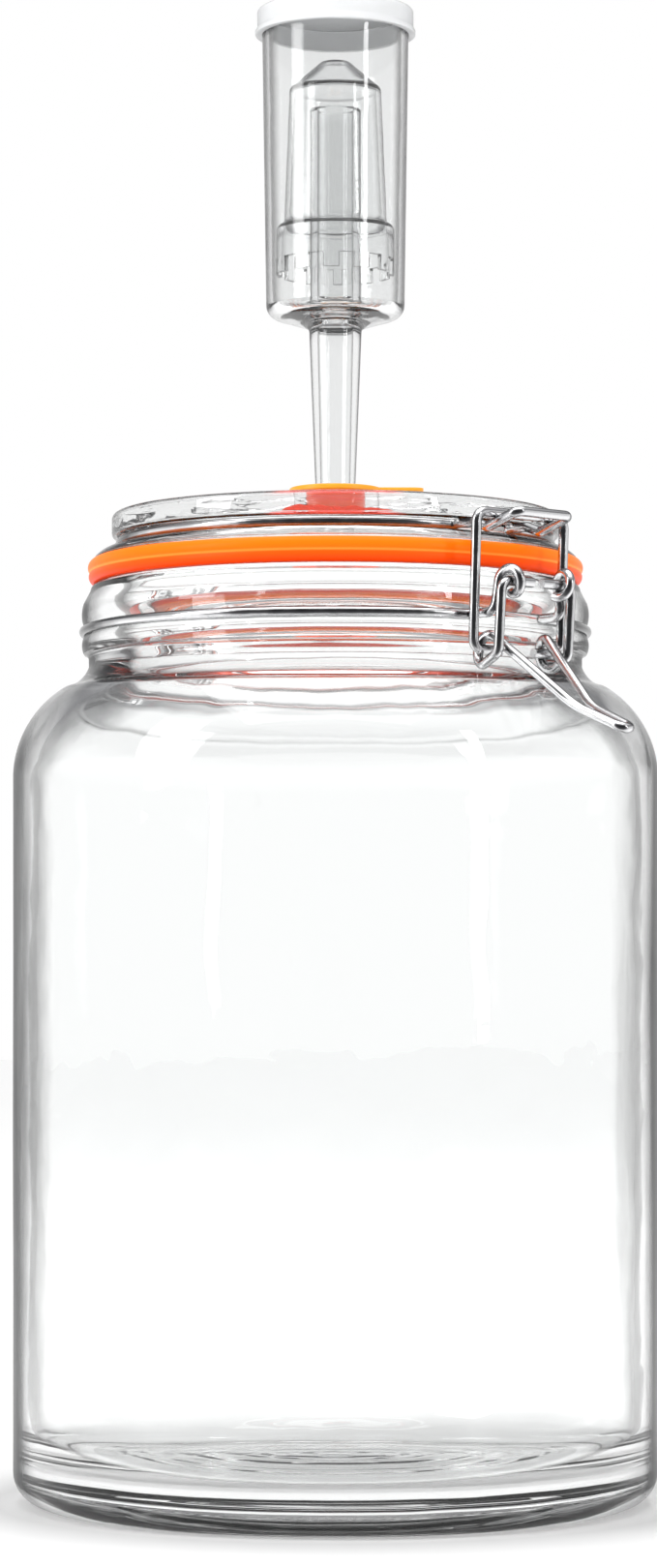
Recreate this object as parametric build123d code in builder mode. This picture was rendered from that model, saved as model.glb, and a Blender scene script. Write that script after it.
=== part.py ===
"""Bail clamp jar with a grommet and a three-piece airlock, in millimetres, +Z up, jar axis on Z, clamp at +X."""

import os
from math import atan2, ceil, cos, pi, radians, sin, sqrt, tan

from build123d import *

os.makedirs("parts", exist_ok=True)

# ---- sizes ----
# glass jar
jar_height = 227.0
jar_radius = 80.0
jar_wall = 4.0
jar_floor = 7.0
heel_radius = 8.0
foot_inner_radius = 62.0
punt_height = 3.0
shoulder_start = 180.0
neck_radius = 61.3
neck_start = jar_height - 20.6
lower_bead_bottom = jar_height - 17.3
mouth_radius = 54.5
rim_radius = 60.4
bead_radius = 63.0

# wire used for the whole clamp
wire_radius = 1.2
wire_gap = 0.5
seat_gap = 0.05
eye_radius = 2 * wire_radius + wire_gap
neck_ring_radius = 62.3
neck_ring_height = jar_height - 11.8

# clamp pivot held by the eyes of the neck ring
pivot_out = 4.0
pivot_x = neck_ring_radius + pivot_out + 5 * wire_radius
pivot_z = neck_ring_height + 7.2
eye_shift = 2.6
eye_outer_y = 9.6

# hinge bar at the back
bar_x = -(neck_ring_radius + 8.7)
bar_z = neck_ring_height + 6.8
bar_half = 12.5

# clamp lever
lever_y = 11.3
lever_shift = 2.7
loop_x = pivot_x - 6.7
loop_drop = 18.2
loop_z = pivot_z - loop_drop + 2 * wire_radius
loop_slack = 0.4
loop_stretch = 0.7
loop_half_width = 2 * wire_radius + loop_slack
loop_half_height = loop_half_width + loop_stretch
handle_out = 20.6
handle_down = 16.9
handle_waist = 2.8
grip_out = 12.6
grip_down = 5.0
grip_half = 2.0

# clamp link
link_y = 14.2
link_pin = 9.0
link_top_x = pivot_x - 5.5

# lid
gasket_height = 6.0
gasket_radius = 61.4
lid_bottom = jar_height + gasket_height + 2 * seat_gap
lid_top = lid_bottom + 11.4
flange_radius = 59.8
lid_radius = 55.5
lid_ring_radius = 53.3
lid_ring_height = lid_bottom + 4.2
plug_radius = 50.5
plug_wall = 4.5
plug_depth = 8.6
lid_plate = 5.5
grommet_hole = 7.0

# catch at the front of the lid ring
catch_y = 8.6
catch_low_x = lid_ring_radius + 11.2
catch_low_z = lid_ring_height - 1.6
catch_end_x = lid_ring_radius + 21.3
catch_end_z = lid_ring_height + 1.3

# grommet
grommet_flange = 12.0
grommet_flange_height = 2.4
grommet_collar = 8.2
grommet_collar_height = 7.4
grommet_brim = 11.5
grommet_brim_height = 1.6
grommet_skirt = 11.0
grommet_skirt_height = 2.0
tab_length = 22.0
tab_width = 6.0
tab_angle = 49.0

# airlock
stem_radius = 5.0
stem_fit = 0.05
stem_bore = 3.4
stem_bottom = lid_top - 8.0
stem_straight = 16.0
stem_top_radius = 6.5
cone_start = lid_top + 46.3
heel_height = 5.6
chamber_radius = 17.2
chamber_top_radius = 18.15
chamber_wall = 1.5
chamber_top = lid_top + 123.9
riser_radius = 6.3
riser_top = lid_top + 100.5
cap_height = 6.3
cap_plate = 1.5
cap_wall = 1.2
cap_flare = 0.5
cap_fit = 0.05

# bell that floats in the airlock
bell_bottom = lid_top + 59.5
bell_skirt_height = 11.0
bell_skirt_radius = 14.7
bell_low_radius = 12.7
bell_top_radius = 11.4
bell_shoulder = lid_top + 105.5
bell_top = lid_top + 112.5
bell_crown_radius = 3.5
bell_wall = 1.2
bell_notch = 3.6
notch_count = 12


# ---- wire helpers ----
def bent_run(points, bend):
    """Edges of a run through the points, with a round bend at each inner corner."""
    corners = [Vector(*p) for p in points]
    edges = []
    start = corners[0]
    for before, corner, after in zip(corners, corners[1:], corners[2:]):
        inward = (before - corner).normalized()
        outward = (after - corner).normalized()
        half_turn = (pi - radians(inward.get_angle(outward))) / 2
        setback = bend * tan(half_turn)
        first = corner + inward * setback
        last = corner + outward * setback
        middle_way = (inward + outward).normalized()
        middle = corner + middle_way * (bend / cos(half_turn) - bend)
        edges.append(Edge.make_line(start, first))
        edges.append(Edge.make_three_point_arc(first, middle, last))
        start = last
    edges.append(Edge.make_line(start, corners[-1]))
    return edges


def coil(centre_x, centre_z, half_width, half_height, start, turn, y_start, y_shift):
    """A loop of wire round an axis along Y that steps sideways as it turns, seen with X to the right."""
    pieces = ceil(abs(turn) / 60)
    steps = 4
    pitch = y_shift / radians(turn)
    way = 1 if turn > 0 else -1
    edges = []
    for piece in range(pieces):
        points = []
        ways = []
        for step in range(steps + 1):
            part_way = (piece + step / steps) / pieces
            angle = radians(start + turn * part_way)
            x = centre_x + half_width * cos(angle)
            z = centre_z + half_height * sin(angle)
            points.append(Vector(x, y_start + y_shift * part_way, z))
            along = Vector(-half_width * sin(angle), pitch, half_height * cos(angle)) * way
            ways.append(along.normalized())
        edges.append(Edge.make_spline(points, tangents=[ways[0], ways[-1]]))
    return edges


def ring_arc(radius, height, from_angle, to_angle):
    """An arc of a level ring round the jar axis, angles in degrees from +X."""
    points = []
    for angle in (from_angle, (from_angle + to_angle) / 2, to_angle):
        points.append(Vector(radius * cos(radians(angle)), radius * sin(radians(angle)), height))
    return [Edge.make_three_point_arc(*points)]


def drawn_wire(edges):
    """Round wire drawn along joined edges."""
    path = Wire(edges)
    section = Wire.make_circle(wire_radius, Plane(origin=path @ 0, z_dir=path % 0))
    return Solid.sweep(Face(section), path)


# ---- glass jar ----
def make_glass_jar():
    inner_radius = jar_radius - jar_wall
    groove = wire_radius + seat_gap
    groove_top = neck_ring_height + groove
    groove_bottom = neck_ring_height - groove
    with BuildPart() as glass_jar:
        with BuildSketch(Plane.XZ):
            with BuildLine():
                Line((0, punt_height), (0, jar_floor + punt_height))
                Spline(
                    (0, jar_floor + punt_height),
                    (foot_inner_radius, jar_floor),
                    tangents=((1, 0), (1, 0)),
                )
                ThreePointArc(
                    (foot_inner_radius, jar_floor),
                    (inner_radius - 4, jar_floor + 4.2),
                    (inner_radius, jar_floor + 14),
                )
                Line((inner_radius, jar_floor + 14), (inner_radius, shoulder_start))
                ThreePointArc(
                    (inner_radius, shoulder_start),
                    (inner_radius - 3.9, shoulder_start + 10.5),
                    (inner_radius - 11.5, neck_start - 8.4),
                )
                ThreePointArc(
                    (inner_radius - 11.5, neck_start - 8.4),
                    (mouth_radius + 3, neck_start - 4.4),
                    (mouth_radius, neck_start + 2),
                )
                Line((mouth_radius, neck_start + 2), (mouth_radius, jar_height - 1.5))
                ThreePointArc(
                    (mouth_radius, jar_height - 1.5),
                    (mouth_radius + 0.45, jar_height - 0.45),
                    (mouth_radius + 1.5, jar_height),
                )
                Line((mouth_radius + 1.5, jar_height), (rim_radius - 1.5, jar_height))
                ThreePointArc(
                    (rim_radius - 1.5, jar_height),
                    (rim_radius - 0.1, jar_height - 0.5),
                    (rim_radius + 0.5, jar_height - 1.8),
                )
                Line((rim_radius + 0.5, jar_height - 1.8), (bead_radius - 0.4, jar_height - 5))
                ThreePointArc(
                    (bead_radius - 0.4, jar_height - 5),
                    (bead_radius, jar_height - 7.2),
                    (bead_radius - 0.5, groove_top),
                )
                Line((bead_radius - 0.5, groove_top), (neck_ring_radius, groove_top))
                ThreePointArc(
                    (neck_ring_radius, groove_top),
                    (neck_ring_radius - groove, neck_ring_height),
                    (neck_ring_radius, groove_bottom),
                )
                Line((neck_ring_radius, groove_bottom), (bead_radius - 0.5, groove_bottom))
                ThreePointArc(
                    (bead_radius - 0.5, groove_bottom),
                    (bead_radius, (groove_bottom + lower_bead_bottom) / 2),
                    (bead_radius - 0.5, lower_bead_bottom),
                )
                ThreePointArc(
                    (bead_radius - 0.5, lower_bead_bottom),
                    (neck_radius + 0.3, lower_bead_bottom - 0.5),
                    (neck_radius, lower_bead_bottom - 1.4),
                )
                Line((neck_radius, lower_bead_bottom - 1.4), (neck_radius, neck_start))
                ThreePointArc(
                    (neck_radius, neck_start),
                    (neck_radius + 1.9, neck_start - 3),
                    (neck_radius + 6.5, neck_start - 5.4),
                )
                ThreePointArc(
                    (neck_radius + 6.5, neck_start - 5.4),
                    (jar_radius - 3.9, shoulder_start + 12.7),
                    (jar_radius, shoulder_start),
                )
                Line((jar_radius, shoulder_start), (jar_radius, heel_radius))
                RadiusArc(
                    (jar_radius, heel_radius),
                    (jar_radius - heel_radius, 0),
                    heel_radius,
                )
                Line((jar_radius - heel_radius, 0), (foot_inner_radius, 0))
                Spline(
                    (foot_inner_radius, 0),
                    (0, punt_height),
                    tangents=((-1, 0.15), (-1, 0)),
                )
            make_face()
        revolve(axis=Axis.Z)
    glass_jar.part.label = "glass_jar"
    export_step(glass_jar.part, "parts/glass_jar.step")


# ---- neck ring: hinge bar at the back, ring in the groove, pivot eyes at the front ----
def make_neck_ring():
    leave_angle = 13.5
    back_angle = 161.0
    front_start = Vector(
        neck_ring_radius * cos(radians(leave_angle)),
        neck_ring_radius * sin(radians(leave_angle)),
        neck_ring_height,
    )
    front_way = Vector(sin(radians(leave_angle)), -cos(radians(leave_angle)), 0)
    back_end = Vector(
        neck_ring_radius * cos(radians(back_angle)),
        neck_ring_radius * sin(radians(back_angle)),
        neck_ring_height,
    )
    back_way = Vector(sin(radians(back_angle)), -cos(radians(back_angle)), 0)
    eye_turn = -300.0
    eye_slope = -eye_shift / (radians(-eye_turn) * eye_radius)
    eye_start = Vector(pivot_x - eye_radius, eye_outer_y, pivot_z)
    rise = Vector(0, eye_slope, 1).normalized()
    with BuildPart() as neck_ring:
        edges = bent_run(
            [
                (bar_x, 0, bar_z),
                (bar_x, bar_half, bar_z),
                (bar_x + 3.5, bar_half + 1.5, neck_ring_height + 0.3),
                tuple(back_end - back_way * 6),
                tuple(back_end),
            ],
            2.2,
        )
        edges += ring_arc(neck_ring_radius, neck_ring_height, back_angle, leave_angle)
        edges += bent_run(
            [
                tuple(front_start),
                tuple(front_start + front_way * 3.6),
                tuple(eye_start - rise * 7.2),
                tuple(eye_start),
            ],
            2.5,
        )
        edges += coil(
            pivot_x, pivot_z, eye_radius, eye_radius, 180, eye_turn, eye_outer_y, -eye_shift
        )
        add(drawn_wire(edges))
        mirror(about=Plane.XZ)
    neck_ring.part.label = "neck_ring"
    export_step(neck_ring.part, "parts/neck_ring.step")


# ---- clamp lever ----
def make_clamp_lever():
    pin_end = 1.5
    loop_in = -68.0
    run_way = Vector(handle_out, 0, -handle_down).normalized()
    loop_out = atan2(loop_half_height * run_way.X, -loop_half_width * run_way.Z) * 180 / pi - 360
    loop_turn = loop_out - loop_in
    loop_start = Vector(
        loop_x + loop_half_width * cos(radians(loop_in)),
        lever_y,
        loop_z + loop_half_height * sin(radians(loop_in)),
    )
    in_way = Vector(
        loop_half_width * sin(radians(loop_in)), 0, -loop_half_height * cos(radians(loop_in))
    ).normalized()
    handle_y = lever_y - lever_shift
    handle_start = Vector(
        loop_x + loop_half_width * cos(radians(loop_out)),
        handle_y,
        loop_z + loop_half_height * sin(radians(loop_out)),
    )
    waist = Vector(handle_start.X + handle_out, handle_waist, handle_start.Z - handle_down)
    tip = Vector(waist.X + grip_out, grip_half, waist.Z - grip_down)
    grip_way = Vector(grip_out, 0, -grip_down).normalized()
    nose = Vector(tip.X, 0, tip.Z) + grip_way * grip_half
    with BuildPart() as clamp_lever:
        edges = bent_run(
            [
                (pivot_x, pin_end, pivot_z),
                (pivot_x, lever_y, pivot_z),
                tuple(loop_start - in_way * 5),
                tuple(loop_start),
            ],
            2.5,
        )
        edges += coil(
            loop_x,
            loop_z,
            loop_half_width,
            loop_half_height,
            loop_in,
            loop_turn,
            lever_y,
            -lever_shift,
        )
        edges += bent_run(
            [
                tuple(handle_start),
                tuple(waist),
                tuple(tip),
            ],
            8.0,
        )
        across = Vector(0, 1, 0)
        middle = Vector(tip.X, 0, tip.Z) + (across + grip_way) * (grip_half * sqrt(0.5))
        edges.append(Edge.make_three_point_arc(tip, middle, nose))
        add(drawn_wire(edges))
        mirror(about=Plane.XZ)
    clamp_lever.part.label = "clamp_lever"
    export_step(clamp_lever.part, "parts/clamp_lever.step")


# ---- clamp link ----
def catch_seat():
    """Height of the link's top bar where it lies on the two arms of the catch."""
    slope = atan2(catch_end_z - catch_low_z, catch_end_x - catch_low_x)
    arm_z = catch_low_z + (link_top_x - catch_low_x) * tan(slope)
    return arm_z + (2 * wire_radius + seat_gap) / cos(slope)


def make_clamp_link():
    top_z = catch_seat()
    with BuildPart() as clamp_link:
        edges = bent_run(
            [
                (loop_x, link_y - link_pin, loop_z),
                (loop_x, link_y, loop_z),
                (link_top_x, link_y, top_z),
                (link_top_x, 0, top_z),
            ],
            2.6,
        )
        add(drawn_wire(edges))
        mirror(about=Plane.XZ)
    clamp_link.part.label = "clamp_link"
    export_step(clamp_link.part, "parts/clamp_link.step")


# ---- lid ring: eyes round the hinge bar at the back, catch at the front ----
def make_lid_ring():
    leave_angle = 13.0
    back_angle = 167.0
    eye_y = 8.6
    eye_turn = 270.0
    front_start = Vector(
        lid_ring_radius * cos(radians(leave_angle)),
        lid_ring_radius * sin(radians(leave_angle)),
        lid_ring_height,
    )
    front_way = Vector(sin(radians(leave_angle)), -cos(radians(leave_angle)), 0)
    back_end = Vector(
        lid_ring_radius * cos(radians(back_angle)),
        lid_ring_radius * sin(radians(back_angle)),
        lid_ring_height,
    )
    back_way = Vector(sin(radians(back_angle)), -cos(radians(back_angle)), 0)
    step_in = (front_start.Y - catch_y) / -front_way.Y
    step_back = (back_end.Y - eye_y) / back_way.Y
    eye_start = Vector(bar_x - eye_radius, eye_y, bar_z)
    with BuildPart() as lid_ring:
        edges = bent_run(
            [
                (catch_end_x, 0, catch_end_z),
                (catch_end_x, catch_y, catch_end_z),
                (catch_low_x, catch_y, catch_low_z),
                (catch_low_x - 4.5, catch_y, lid_ring_height),
                tuple(front_start + front_way * step_in),
                tuple(front_start),
            ],
            1.9,
        )
        edges += ring_arc(lid_ring_radius, lid_ring_height, leave_angle, back_angle)
        edges += bent_run(
            [
                tuple(back_end),
                tuple(back_end - back_way * step_back),
                (bar_x - eye_radius, eye_y, lid_ring_height),
                tuple(eye_start),
            ],
            1.9,
        )
        edges += coil(bar_x, bar_z, eye_radius, eye_radius, 180, eye_turn, eye_y, -eye_shift)
        add(drawn_wire(edges))
        mirror(about=Plane.XZ)
    lid_ring.part.label = "lid_ring"
    export_step(lid_ring.part, "parts/lid_ring.step")


# ---- glass lid ----
def make_glass_lid():
    groove = wire_radius + seat_gap
    groove_top = lid_ring_height + groove
    groove_bottom = lid_ring_height - groove
    plug_inner = plug_radius - plug_wall
    plate_bottom = lid_top - lid_plate
    hole = grommet_hole + seat_gap
    with BuildPart() as glass_lid:
        with BuildSketch(Plane.XZ):
            with BuildLine():
                Polyline(
                    (hole, lid_top),
                    (hole, plate_bottom),
                    (plug_inner - 4, plate_bottom),
                )
                ThreePointArc(
                    (plug_inner - 4, plate_bottom),
                    (plug_inner - 1.2, plate_bottom - 1.2),
                    (plug_inner, plate_bottom - 4),
                )
                Polyline(
                    (plug_inner, plate_bottom - 4),
                    (plug_inner + 0.4, lid_bottom - plug_depth + 1),
                    (plug_inner + 1.4, lid_bottom - plug_depth),
                    (plug_radius - 1, lid_bottom - plug_depth),
                    (plug_radius, lid_bottom - plug_depth + 1),
                    (plug_radius, lid_bottom),
                    (flange_radius, lid_bottom),
                )
                TangentArc(
                    (lid_ring_radius + 1, groove_bottom),
                    (flange_radius, lid_bottom),
                    tangent=(1, 0),
                )
                Line((lid_ring_radius + 1, groove_bottom), (lid_ring_radius, groove_bottom))
                ThreePointArc(
                    (lid_ring_radius, groove_bottom),
                    (lid_ring_radius - groove, lid_ring_height),
                    (lid_ring_radius, groove_top),
                )
                Line((lid_ring_radius, groove_top), (lid_radius - 1, groove_top))
                ThreePointArc(
                    (lid_radius - 1, groove_top),
                    (lid_radius - 0.3, groove_top + 0.3),
                    (lid_radius, groove_top + 1),
                )
                Line((lid_radius, groove_top + 1), (lid_radius, lid_top - 1.4))
                ThreePointArc(
                    (lid_radius, lid_top - 1.4),
                    (lid_radius - 0.41, lid_top - 0.41),
                    (lid_radius - 1.4, lid_top),
                )
                Line((lid_radius - 1.4, lid_top), (hole, lid_top))
            make_face()
        revolve(axis=Axis.Z)
    glass_lid.part.label = "glass_lid"
    export_step(glass_lid.part, "parts/glass_lid.step")


# ---- lid gasket ----
def make_lid_gasket():
    bottom = jar_height + seat_gap
    middle = bottom + 0.45 * gasket_height
    top = bottom + gasket_height
    inner = plug_radius + seat_gap
    with BuildPart() as lid_gasket:
        with BuildSketch(Plane.XZ):
            with BuildLine():
                Polyline(
                    (gasket_radius - 1.5, bottom),
                    (inner, bottom),
                    (inner, top),
                    (gasket_radius - 1.4, top),
                )
                ThreePointArc(
                    (gasket_radius - 1.4, top),
                    (gasket_radius, top - 1.7),
                    (gasket_radius - 0.3, middle),
                )
                ThreePointArc(
                    (gasket_radius - 0.3, middle),
                    (gasket_radius - 0.2, bottom + 1.5),
                    (gasket_radius - 1.5, bottom),
                )
            make_face()
        revolve(axis=Axis.Z)
    lid_gasket.part.label = "lid_gasket"
    export_step(lid_gasket.part, "parts/lid_gasket.step")


# ---- grommet with pull tab ----
def make_lid_grommet():
    flange_top = lid_top + grommet_flange_height
    collar_top = lid_top + grommet_collar_height
    brim_bottom = collar_top - grommet_brim_height
    plate_bottom = lid_top - lid_plate
    skirt_bottom = plate_bottom - grommet_skirt_height
    bore = stem_radius + stem_fit
    with BuildPart() as lid_grommet:
        with BuildSketch(Plane.XZ):
            with BuildLine():
                Polyline(
                    (bore, skirt_bottom),
                    (bore, collar_top),
                    (grommet_brim - 0.5, collar_top),
                    (grommet_brim, collar_top - 0.5),
                    (grommet_brim, brim_bottom),
                    (grommet_collar + 0.8, brim_bottom),
                    (grommet_collar, brim_bottom - 0.8),
                    (grommet_collar, flange_top + 0.8),
                    (grommet_collar + 0.8, flange_top),
                    (grommet_flange - 0.8, flange_top),
                    (grommet_flange, flange_top - 0.8),
                    (grommet_flange, lid_top),
                    (grommet_hole, lid_top),
                    (grommet_hole, plate_bottom),
                    (grommet_skirt, plate_bottom),
                    (grommet_skirt, skirt_bottom + 0.8),
                    (grommet_skirt - 1.6, skirt_bottom),
                    (bore, skirt_bottom),
                )
            make_face()
        revolve(axis=Axis.Z)
        tab_way = (cos(radians(tab_angle)), sin(radians(tab_angle)), 0)
        with BuildSketch(Plane(origin=(0, 0, brim_bottom), x_dir=tab_way)):
            tab_start = (grommet_collar + grommet_brim) / 2
            tab_end = tab_length - tab_width / 2
            with BuildLine():
                Line((tab_end, -tab_width / 2), (tab_start, -tab_width / 2))
                Line((tab_start, -tab_width / 2), (tab_start, tab_width / 2))
                Line((tab_start, tab_width / 2), (tab_end, tab_width / 2))
                ThreePointArc(
                    (tab_end, tab_width / 2), (tab_length, 0), (tab_end, -tab_width / 2)
                )
            make_face()
        extrude(amount=grommet_brim_height - 0.2)
    lid_grommet.part.label = "lid_grommet"
    export_step(lid_grommet.part, "parts/lid_grommet.step")


# ---- airlock body: stem, chamber and riser tube in one moulding ----
def make_airlock_body():
    straight_top = stem_bottom + stem_straight
    heel_top = cone_start + heel_height
    floor_inner = cone_start + chamber_wall
    with BuildPart() as airlock_body:
        with BuildSketch(Plane.XZ):
            with BuildLine():
                Polyline(
                    (stem_bore, stem_bottom),
                    (stem_radius - 0.4, stem_bottom),
                    (stem_radius, stem_bottom + 0.4),
                    (stem_radius, straight_top),
                    (stem_top_radius, cone_start),
                    (chamber_radius - 3, cone_start + 2.4),
                )
                ThreePointArc(
                    (chamber_radius - 3, cone_start + 2.4),
                    (chamber_radius - 0.8, cone_start + 3.6),
                    (chamber_radius, heel_top),
                )
                Polyline(
                    (chamber_radius, heel_top),
                    (chamber_top_radius, chamber_top - cap_height),
                    (chamber_top_radius, chamber_top),
                    (chamber_top_radius - chamber_wall, chamber_top),
                    (chamber_radius - chamber_wall, heel_top),
                )
                ThreePointArc(
                    (chamber_radius - chamber_wall, heel_top),
                    (chamber_radius - chamber_wall - 0.8, cone_start + 4.7),
                    (chamber_radius - chamber_wall - 3, cone_start + 3.9),
                )
                Polyline(
                    (chamber_radius - chamber_wall - 3, cone_start + 3.9),
                    (riser_radius, floor_inner + 1),
                    (riser_radius, riser_top),
                    (stem_bore + 1.1, riser_top),
                    (stem_bore + 1.1, cone_start),
                    (stem_bore, stem_bottom),
                )
            make_face()
        revolve(axis=Axis.Z)
    airlock_body.part.label = "airlock_body"
    export_step(airlock_body.part, "parts/airlock_body.step")


# ---- airlock bell ----
def make_airlock_bell():
    skirt_top = bell_bottom + bell_skirt_height
    with BuildPart() as airlock_bell:
        with BuildSketch(Plane.XZ):
            Polygon(
                (bell_skirt_radius, bell_bottom),
                (bell_skirt_radius, skirt_top),
                (bell_low_radius, skirt_top + 4),
                (bell_top_radius, bell_shoulder),
                (bell_crown_radius, bell_top),
                (0, bell_top),
                (0, bell_top - bell_wall),
                (bell_crown_radius - 0.5, bell_top - bell_wall),
                (bell_top_radius - bell_wall, bell_shoulder - 0.6),
                (bell_low_radius - bell_wall, skirt_top + 4),
                (bell_skirt_radius - bell_wall, skirt_top - 0.5),
                (bell_skirt_radius - bell_wall, bell_bottom),
                align=None,
            )
        revolve(axis=Axis.Z)
        with BuildSketch(Plane.XY.offset(bell_bottom)):
            with PolarLocations(bell_skirt_radius, notch_count):
                Rectangle(4, 2.6)
        extrude(amount=bell_notch, mode=Mode.SUBTRACT)
        with BuildSketch(Plane.XY.offset(riser_top + seat_gap)):
            Rectangle(2 * riser_radius, bell_wall)
            Rectangle(bell_wall, 2 * riser_radius)
        extrude(amount=bell_top - bell_wall / 2 - riser_top, mode=Mode.ADD, until=None)
        with BuildSketch(Plane.XZ):
            Polygon(
                (bell_crown_radius, bell_top),
                (bell_top_radius, bell_shoulder),
                (bell_top_radius, bell_top + 2),
                (0, bell_top + 2),
                (0, bell_top),
                align=None,
            )
        revolve(axis=Axis.Z, mode=Mode.SUBTRACT)
    airlock_bell.part.label = "airlock_bell"
    export_step(airlock_bell.part, "parts/airlock_bell.step")


# ---- airlock cap ----
def make_airlock_cap():
    bottom = chamber_top + seat_gap + cap_plate - cap_height
    under = chamber_top + seat_gap
    top = under + cap_plate
    inner = chamber_top_radius + cap_fit
    outer = inner + cap_wall
    with BuildPart() as airlock_cap:
        with BuildSketch(Plane.XZ):
            with BuildLine():
                Polyline(
                    (0, under),
                    (inner, under),
                    (inner, bottom),
                    (outer + cap_flare, bottom),
                    (outer + cap_flare, bottom + 1),
                    (outer, bottom + 1.8),
                    (outer, top - 0.8),
                )
                ThreePointArc(
                    (outer, top - 0.8),
                    (outer - 0.23, top - 0.23),
                    (outer - 0.8, top),
                )
                Polyline((outer - 0.8, top), (0, top), (0, under))
            make_face()
        revolve(axis=Axis.Z)
    airlock_cap.part.label = "airlock_cap"
    export_step(airlock_cap.part, "parts/airlock_cap.step")


make_glass_jar()
make_neck_ring()
make_clamp_lever()
make_clamp_link()
make_lid_ring()
make_glass_lid()
make_lid_gasket()
make_lid_grommet()
make_airlock_body()
make_airlock_bell()
make_airlock_cap()
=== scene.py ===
"""A bail clamp jar with an airlock in its lid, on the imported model. Metres, +Z up, clamp at +X."""

from math import atan2, cos, hypot, pi, radians, sin, sqrt, tan

import bmesh
import bpy
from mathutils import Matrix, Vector


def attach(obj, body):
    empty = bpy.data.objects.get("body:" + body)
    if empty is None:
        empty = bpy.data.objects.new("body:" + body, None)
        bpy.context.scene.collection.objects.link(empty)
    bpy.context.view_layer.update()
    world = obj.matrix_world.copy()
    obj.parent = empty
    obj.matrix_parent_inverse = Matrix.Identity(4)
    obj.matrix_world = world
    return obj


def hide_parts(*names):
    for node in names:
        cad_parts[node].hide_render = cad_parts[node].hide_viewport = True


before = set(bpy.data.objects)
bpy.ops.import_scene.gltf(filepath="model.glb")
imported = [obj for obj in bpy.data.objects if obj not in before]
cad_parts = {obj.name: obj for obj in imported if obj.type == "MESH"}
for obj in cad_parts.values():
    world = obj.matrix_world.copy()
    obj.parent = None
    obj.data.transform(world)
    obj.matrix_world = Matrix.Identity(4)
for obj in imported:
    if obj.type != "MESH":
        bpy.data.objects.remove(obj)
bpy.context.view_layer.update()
MM = 0.001


# ---- glass jar ----
# One moulded piece of clear soda glass: a thick pushed-up foot, a straight body, and a neck
# with two beads. The groove between the beads holds the neck ring. Its inner wall is a little wavy.
class Level:
    """A number or colour that comes out of a node; arithmetic on it adds Math nodes."""

    def __init__(self, finish, socket):
        self.finish = finish
        self.socket = socket

    def math(self, operation, first, second):
        return self.finish.node("ShaderNodeMath", {"operation": operation}, {0: first, 1: second})

    def __add__(self, other):
        return self.math("ADD", self, other)

    def __radd__(self, other):
        return self.math("ADD", other, self)

    def __sub__(self, other):
        return self.math("SUBTRACT", self, other)

    def __rsub__(self, other):
        return self.math("SUBTRACT", other, self)

    def __mul__(self, other):
        return self.math("MULTIPLY", self, other)

    def __rmul__(self, other):
        return self.math("MULTIPLY", other, self)

    def of(self, name):
        """Another output of the same node."""
        return Level(self.finish, self.socket.node.outputs[name])


class Finish:
    """A material, or a geometry tree, that is put together node by node."""

    def __init__(self, name, tree=None):
        self.material = None
        if tree is None:
            self.material = bpy.data.materials.new(name)
            self.material.use_nodes = True
            tree = self.material.node_tree
            tree.nodes.clear()
        self.tree = tree

    def node(self, kind, settings=None, sockets=None):
        """Adds a node: its settings first, then the values or links of its sockets."""
        made = self.tree.nodes.new(kind)
        for key, value in (settings or {}).items():
            if key == "stops":
                ramp = made.color_ramp
                while len(ramp.elements) < len(value):
                    ramp.elements.new(0.5)
                for element, (place, colour) in zip(ramp.elements, value):
                    element.position = place
                    element.color = colour
            else:
                setattr(made, key, value)
        for key, value in (sockets or {}).items():
            if isinstance(value, Level):
                self.tree.links.new(value.socket, made.inputs[key])
            else:
                made.inputs[key].default_value = value
        return Level(self, made.outputs[0]) if made.outputs else made

    def place(self):
        return self.node("ShaderNodeTexCoord").of("Object")

    def noise(self, scale, detail=2.0, roughness=0.5, where=None):
        sockets = {"Scale": scale, "Detail": detail, "Roughness": roughness}
        sockets["Vector"] = where if where else self.place()
        return self.node("ShaderNodeTexNoise", {}, sockets)

    def bump(self, height, depth, strength=1.0):
        return self.node(
            "ShaderNodeBump", {}, {"Height": height, "Distance": depth, "Strength": strength}
        )

    def ramp(self, factor, *stops):
        """Colours that change from stop to stop as the factor grows."""
        solid = [(place, (*colour, 1)) for place, colour in stops]
        return self.node("ShaderNodeValToRGB", {"stops": solid}, {0: factor})

    def upward(self, vector):
        """The part of a place or a direction that points up."""
        return self.node("ShaderNodeSeparateXYZ", {}, {0: vector}).of("Z")

    def surface(self, shader):
        self.node("ShaderNodeOutputMaterial", {}, {"Surface": shader})
        return self.material


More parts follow.
